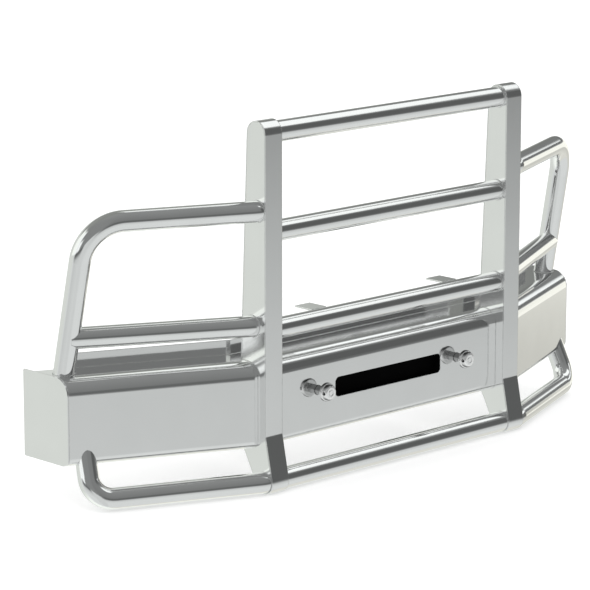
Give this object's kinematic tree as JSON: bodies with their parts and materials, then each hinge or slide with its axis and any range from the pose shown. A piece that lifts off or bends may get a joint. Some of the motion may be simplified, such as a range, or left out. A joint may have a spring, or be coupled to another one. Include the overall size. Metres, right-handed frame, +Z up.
{
  "type": "front grille guard",
  "caption": "Tilting truck front grille guard: swept bumper with slot, upright posts, cross tubes, wing hoops, wrap-around lower tube and chassis hinge brackets.",
  "frame": {"origin": "centre of the guard's footprint at the height of the foot of the posts", "axes": "+X to the right when facing the front of the guard, +Y back toward the truck, +Z up; the front faces -Y"},
  "size_m": [2.6, 0.5851, 1.3284],
  "materials": {
    "polished_aluminium": "mirror-polished sheet and tube",
    "chrome_pin": "bright chrome on turned steel",
    "raw_steel": "machined and lightly brushed steel",
    "zinc_plate": "bright zinc-plated fasteners",
    "bronze": "oiled bearing bronze",
    "black_coat": "satin black powder coat",
    "rubber": "moulded black rubber"
  },
  "bodies": {
    "chassis": {"chassis_bracket_left": "black_coat", "chassis_bracket_right": "black_coat", "rubber_stops_left": "rubber", "rubber_stops_right": "rubber", "pivot_pin_left": "zinc_plate", "pivot_pin_right": "zinc_plate", "pivot_washers": "zinc_plate", "pivot_nuts": "zinc_plate"},
    "guard": {"bumper_centre": "polished_aluminium", "bumper_wing_left": "polished_aluminium", "bumper_wing_right": "polished_aluminium", "end_plate_left": "polished_aluminium", "end_plate_right": "polished_aluminium", "valance_centre": "polished_aluminium", "valance_left": "polished_aluminium", "valance_right": "polished_aluminium", "under_tube": "polished_aluminium", "post_left_front_strip": "polished_aluminium", "post_right_front_strip": "polished_aluminium", "post_left_outer_plate": "polished_aluminium", "post_right_outer_plate": "polished_aluminium", "post_left_inner_plate": "polished_aluminium", "post_right_inner_plate": "polished_aluminium", "post_left_back_strip": "polished_aluminium", "post_right_back_strip": "polished_aluminium", "grille_tube_lower": "polished_aluminium", "grille_tube_middle": "polished_aluminium", "grille_tube_top": "polished_aluminium", "wing_hoop_left": "polished_aluminium", "wing_hoop_right": "polished_aluminium", "wing_rail_left": "polished_aluminium", "wing_rail_right": "polished_aluminium", "rear_tab_left": "polished_aluminium", "rear_tab_right": "polished_aluminium", "slot_tray": "black_coat", "tow_receiver_left": "raw_steel", "tow_receiver_right": "raw_steel", "hinge_lug_left_inner": "raw_steel", "hinge_lug_left_outer": "raw_steel", "hinge_lug_right_inner": "raw_steel", "hinge_lug_right_outer": "raw_steel", "pivot_bushes_left": "bronze", "pivot_bushes_right": "bronze"},
    "tow_pin_left": {"tow_pin_left": "chrome_pin"},
    "tow_pin_right": {"tow_pin_right": "chrome_pin"}
  },
  "joints": [
    {"name": "guard_tilt", "type": "hinge", "parent": "chassis", "child": "guard", "pos_m": [0, -0.12901, 0.2056], "axis": [1, 0, 0], "range_deg": [0, 75]},
    {"name": "tow_pin_left_pull", "type": "slide", "parent": "guard", "child": "tow_pin_left", "axis": [0, -1, 0], "range_m": [0, 0.1]},
    {"name": "tow_pin_right_pull", "type": "slide", "parent": "guard", "child": "tow_pin_right", "axis": [0, -1, 0], "range_m": [0, 0.1]}
  ]
}
